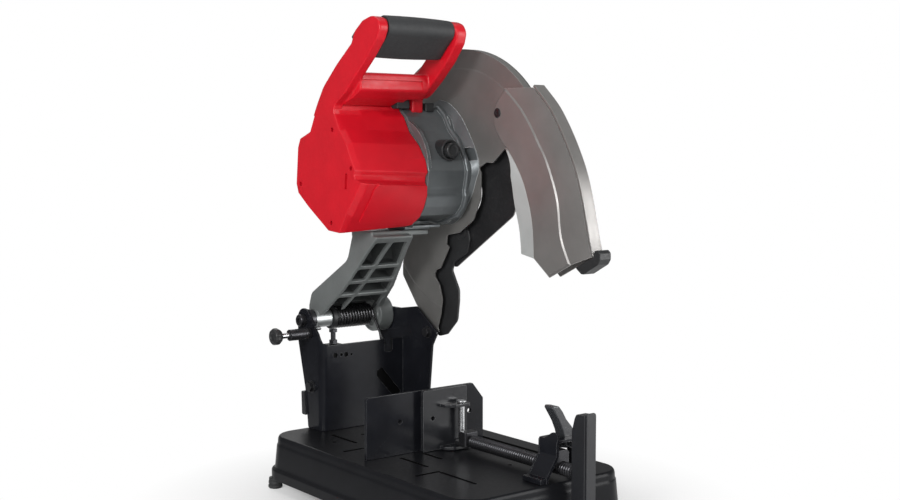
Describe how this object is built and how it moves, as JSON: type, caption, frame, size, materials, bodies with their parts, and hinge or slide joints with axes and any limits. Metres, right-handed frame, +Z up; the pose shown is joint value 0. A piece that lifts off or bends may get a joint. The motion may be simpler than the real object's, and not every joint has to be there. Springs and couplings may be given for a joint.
{
  "type": "abrasive cut-off saw",
  "caption": "Cordless bench cut-off saw for metal: pressed base with vise and fence, sprung swinging head with motor and D-handle, wheel guard with hinged visor; no wheel or battery fitted.",
  "frame": {"origin": "on the floor under the middle of the overall bounding box", "axes": "+X to the operator's right, +Y to the rear (towards the head pivot), +Z up"},
  "size_m": [0.272, 0.52, 0.641],
  "materials": {
    "black_paint": "semi-gloss black coat",
    "red_plastic": "satin moulded red",
    "black_rubber": "matte",
    "black_plastic": "satin moulded black",
    "cast_grey": "cast, painted grey",
    "silver_guard": "silver-grey coat",
    "bright_steel": "zinc plated",
    "dark_steel": "oiled black",
    "copper_winding": "wound core",
    "circuit_board": "potted board"
  },
  "bodies": {
    "base": {"base_pan": "black_paint", "foot_front_left": "black_rubber", "foot_front_right": "black_rubber", "foot_rear_left": "black_rubber", "foot_rear_right": "black_rubber", "pivot_bracket": "black_paint", "pivot_shaft": "bright_steel", "pivot_nut": "bright_steel", "torsion_spring": "dark_steel", "depth_stop_bolt": "bright_steel", "lock_barrel": "dark_steel", "fence": "black_paint", "fence_bolt_left": "bright_steel", "fence_bolt_right": "bright_steel", "vise_bracket": "black_paint", "release_pin": "bright_steel"},
    "head": {"arm": "cast_grey", "lock_lug": "bright_steel", "gear_case": "cast_grey", "bearing_plate": "cast_grey", "motor_housing": "red_plastic", "end_cap": "red_plastic", "handle": "red_plastic", "grip_cover": "black_rubber", "trigger_switch": "black_plastic", "battery_dock": "black_plastic", "motor_controller": "circuit_board", "stator": "copper_winding", "motor_bearing_front": "bright_steel", "motor_bearing_rear": "bright_steel", "spindle_bearing_inner": "bright_steel", "spindle_bearing_outer": "bright_steel", "upper_guard": "silver_guard", "guard_rim": "silver_guard", "guard_side_cover": "silver_guard", "spark_deflector": "black_rubber", "visor_pivot_left": "bright_steel", "visor_pivot_right": "bright_steel"},
    "rotor_shaft": {"rotor": "bright_steel", "pinion": "bright_steel", "fan": "black_plastic"},
    "spindle_shaft": {"spindle": "bright_steel", "spindle_gear": "bright_steel", "inner_flange": "bright_steel", "outer_flange": "bright_steel", "arbor_bolt": "bright_steel"},
    "visor": {"lower_guard": "silver_guard", "visor_bumper": "black_rubber"},
    "trigger_paddle": {"trigger": "black_plastic"},
    "lock_off": {"lock_off_button": "black_plastic"},
    "spindle_lock": {"spindle_lock_button": "black_plastic"},
    "head_lock": {"lock_pin": "bright_steel", "lock_knob": "black_plastic"},
    "vise_carriage": {"jaw_yoke": "dark_steel", "jaw_pin": "bright_steel"},
    "screw_and_crank": {"vise_screw": "dark_steel", "crank": "black_plastic"},
    "jaw": {"jaw_plate": "black_paint"},
    "release": {"release_lever": "black_paint"},
    "nut_block": {"half_nut": "dark_steel"}
  },
  "joints": [
    {"name": "head_pivot", "type": "hinge", "parent": "base", "child": "head", "pos_m": [0.004, 0.228, 0.229], "axis": [1, 0, 0], "range_deg": [0, 43.5], "stiffness_Nm_per_rad": 8, "springref_deg": -171.89},
    {"name": "spindle_spin", "type": "hinge", "parent": "head", "child": "spindle_shaft", "pos_m": [0.004, 0.065, 0.414], "axis": [1, 0, 0], "continuous": true},
    {"name": "rotor_spin", "type": "hinge", "parent": "head", "child": "rotor_shaft", "pos_m": [0.004, 0.09229, 0.43972], "axis": [1, 0, 0], "continuous": true},
    {"name": "visor_swing", "type": "hinge", "parent": "head", "child": "visor", "pos_m": [0.092, -0.027, 0.52], "axis": [-1, 0, 0], "range_deg": [0, 65.1]},
    {"name": "trigger_pull", "type": "slide", "parent": "head", "child": "trigger_paddle", "axis": [0, -0.735, 0.678], "range_m": [0, 0.005], "stiffness_N_per_m": 600, "springref_m": -0.003},
    {"name": "lock_off_press", "type": "slide", "parent": "head", "child": "lock_off", "axis": [0, -0.678, -0.735], "range_m": [0, 0.004], "stiffness_N_per_m": 500, "springref_m": -0.002},
    {"name": "spindle_lock_press", "type": "slide", "parent": "head", "child": "spindle_lock", "axis": [0, 1, 0], "range_m": [0, 0.005], "stiffness_N_per_m": 800, "springref_m": -0.002},
    {"name": "head_lock_slide", "type": "slide", "parent": "base", "child": "head_lock", "axis": [1, 0, 0], "range_m": [0, 0.013]},
    {"name": "vise_slide", "type": "slide", "parent": "base", "child": "vise_carriage", "axis": [0, -1, 0], "range_m": [0, 0.14]},
    {"name": "crank_spin", "type": "hinge", "parent": "vise_carriage", "child": "screw_and_crank", "pos_m": [0.03, -0.1, 0.0885], "axis": [0, -1, 0], "continuous": true},
    {"name": "jaw_swivel", "type": "hinge", "parent": "vise_carriage", "child": "jaw", "pos_m": [0.03, -0.014, 0.105], "axis": [0, 0, 1], "range_deg": [-5, 5]},
    {"name": "release_flip", "type": "hinge", "parent": "base", "child": "release", "pos_m": [0.05, -0.198, 0.117], "axis": [0, 1, 0], "range_deg": [0, 60]},
    {"name": "nut_lift", "type": "slide", "parent": "base", "child": "nut_block", "axis": [0, 0, 1], "range_m": [0, 0.0061]}
  ],
  "couplings": [
    {"joint": "rotor_spin", "follows": "spindle_spin", "ratio": -4},
    {"joint": "visor_swing", "follows": "head_pivot", "ratio": 1.494},
    {"joint": "nut_lift", "follows": "release_flip", "m_per_rad": 0.0058}
  ]
}
